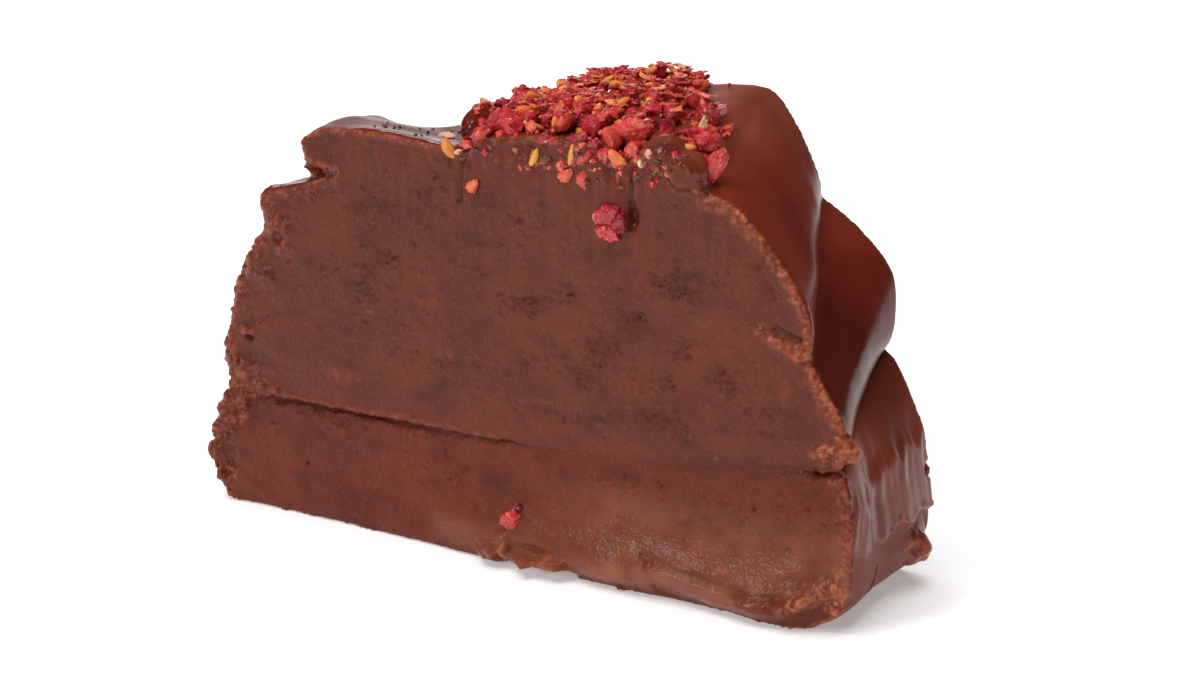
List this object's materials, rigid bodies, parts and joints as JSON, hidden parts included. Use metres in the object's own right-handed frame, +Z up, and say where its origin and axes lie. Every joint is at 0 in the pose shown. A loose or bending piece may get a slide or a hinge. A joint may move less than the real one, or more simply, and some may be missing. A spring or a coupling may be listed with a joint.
{
  "type": "chocolate fudge slice",
  "caption": "Slice of slab-made chocolate fudge: a plain base layer under a layer of soft glossy folds, with freeze-dried raspberry pieces heaped on top.",
  "frame": {"origin": "centre of the footprint, on the flat base", "axes": "+Z up, +X along the cut face towards the glossy folded side, +Y from the front cut to the back cut"},
  "size_m": [0.1056, 0.0284, 0.0674],
  "materials": {
    "base_fudge": "smooth chocolate fudge, lightly glossy",
    "top_fudge": "matte where it was cut, glossy on the folded skin"
  },
  "bodies": {
    "root": {"base_layer": "base_fudge", "top_layer": "top_fudge"}
  },
  "joints": []
}
